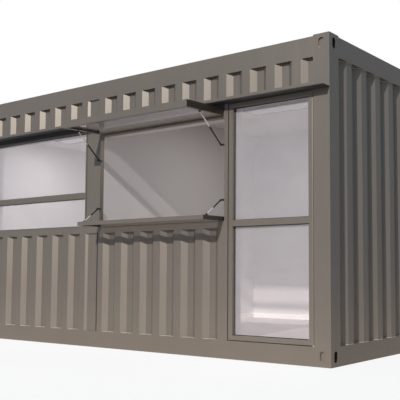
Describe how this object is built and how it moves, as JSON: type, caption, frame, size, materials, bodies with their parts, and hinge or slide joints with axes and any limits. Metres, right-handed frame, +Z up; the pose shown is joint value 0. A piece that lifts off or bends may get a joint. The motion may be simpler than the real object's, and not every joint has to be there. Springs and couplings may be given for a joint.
{
  "type": "container tiny house",
  "caption": "Steel box-frame tiny house with corrugated walls, an open awning hatch with a glazed flap and a glazed serving shelf, a window and glazed doors; one door swings open on pivots.",
  "frame": {"origin": "middle of the footprint of the box frame, level with its underside, at the centre of the four lower lock slots", "axes": "+X along the front towards the door that opens, -Y out of the front, +Z up"},
  "size_m": [6.055, 3.5191, 2.896],
  "materials": {
    "paint": "warm grey paint, satin",
    "dark_paint": "near-black paint, matt",
    "lining": "white wall panel, matt",
    "floor": "pale floor sheet over boards",
    "underframe": "primed steel, matt",
    "glass": "clear glass, polished",
    "frame": "coated aluminium, satin",
    "strut": "black enamel, gloss",
    "rod": "polished steel",
    "lamp": "white lamp body, satin"
  },
  "bodies": {
    "shell": {"bottom_corner_blocks": "paint", "top_corner_blocks": "paint", "corner_posts": "paint", "bottom_side_rails": "paint", "bottom_end_rails": "paint", "top_side_rails": "paint", "top_end_rails": "paint", "floor_joists": "underframe", "floor_deck": "floor", "roof_sheet": "paint", "ceiling_panel": "lining", "back_wall_panel": "paint", "back_wall_lining": "lining", "end_wall_panels": "paint", "end_wall_linings": "lining", "front_band_panels": "paint", "front_fascia": "paint", "eave_plate": "dark_paint", "header_rails": "dark_paint", "hatch_head_rail": "paint", "sill_rails": "paint", "centre_pillar": "paint", "door_mullions": "paint", "front_lower_panels": "paint", "front_lower_linings": "lining", "front_upper_linings": "lining", "mullion_linings": "lining", "door_head_linings": "lining", "party_wall": "lining", "window_rails": "frame", "window_stiles": "frame", "window_glass": "glass", "hatch_flap": "paint", "hatch_flap_glass": "glass", "hatch_hinge": "dark_paint", "serving_shelf": "paint", "serving_shelf_glass": "glass", "strut_cylinders": "strut", "strut_rods": "rod", "strut_brackets": "strut", "door_jambs": "frame", "door_frame_rails": "frame", "door_pivot_pins": "rod", "left_door_stiles": "paint", "left_door_rails": "paint", "left_door_glass": "glass", "ceiling_lamps": "lamp"},
    "right_door": {"right_door_stiles": "paint", "right_door_rails": "paint", "right_door_glass": "glass"}
  },
  "joints": [
    {"name": "right_door_swing", "type": "hinge", "parent": "shell", "child": "right_door", "pos_m": [2.8455, -1.482, 0], "axis": [0, 0, 1], "range_deg": [0, 95]}
  ]
}
